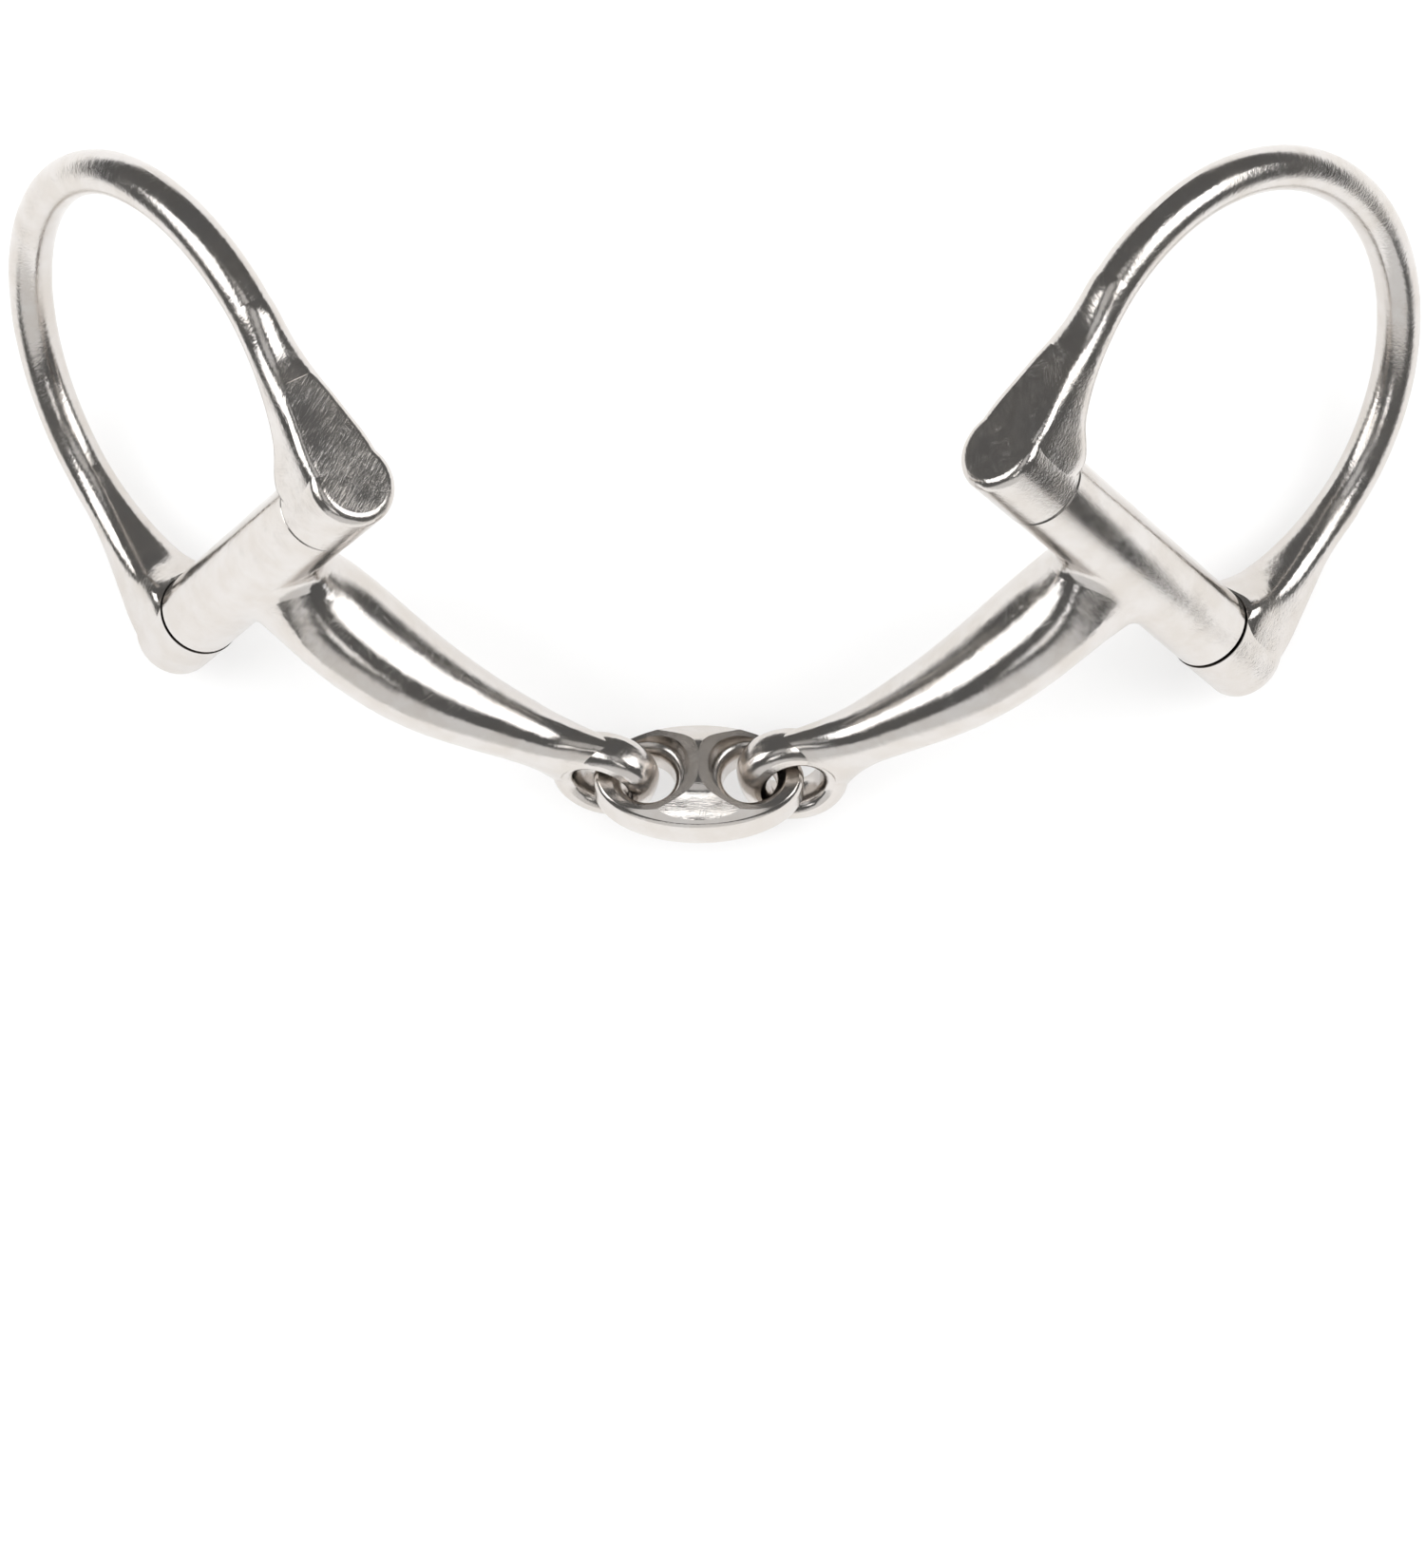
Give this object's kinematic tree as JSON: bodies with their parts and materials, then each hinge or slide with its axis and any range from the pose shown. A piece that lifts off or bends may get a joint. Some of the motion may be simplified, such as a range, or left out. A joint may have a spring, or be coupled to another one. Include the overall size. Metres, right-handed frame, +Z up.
{
  "type": "horse snaffle bit",
  "caption": "Dee-ring snaffle bit with two curved steel cannons, a lozenge centre link and rings that swing on barrel hinges.",
  "frame": {"origin": "centre of the bounding box at the table the folded bit lies on", "axes": "+X towards the right-hand ring along the mouthpiece, +Y from the mouthpiece towards the far side of the rings, +Z up from the table"},
  "size_m": [0.1906, 0.0891, 0.0591],
  "materials": {
    "steel_mouth": "polished stainless steel with fine brushing",
    "steel_ring": "polished stainless steel with fine brushing on the lug faces",
    "steel_pin": "machined steel"
  },
  "bodies": {
    "link": {"center_link": "steel_mouth"},
    "cannon_left": {"cannon_left": "steel_mouth"},
    "dee_left": {"dee_ring_left": "steel_ring", "hinge_pin_left": "steel_pin"},
    "cannon_right": {"cannon_right": "steel_mouth"},
    "dee_right": {"dee_ring_right": "steel_ring", "hinge_pin_right": "steel_pin"}
  },
  "joints": [
    {"name": "loop_fold_left", "type": "hinge", "parent": "link", "child": "cannon_left", "pos_m": [-0.01018, -0.03776, 0.00878], "axis": [-0.5545, -0.3819, -0.7394], "range_deg": [-17, 10]},
    {"name": "ring_swing_left", "type": "hinge", "parent": "cannon_left", "child": "dee_left", "pos_m": [-0.0586, -0.00803, 0.02972], "axis": [-0.5068, -0.2423, -0.8273], "range_deg": [-40, 40]},
    {"name": "loop_fold_right", "type": "hinge", "parent": "link", "child": "cannon_right", "pos_m": [0.00659, -0.03785, 0.00792], "axis": [-0.5465, 0.3664, 0.7531], "range_deg": [-26, 2]},
    {"name": "ring_swing_right", "type": "hinge", "parent": "cannon_right", "child": "dee_right", "pos_m": [0.055, -0.00783, 0.02845], "axis": [-0.5471, 0.3683, 0.7517], "range_deg": [-40, 40]}
  ]
}
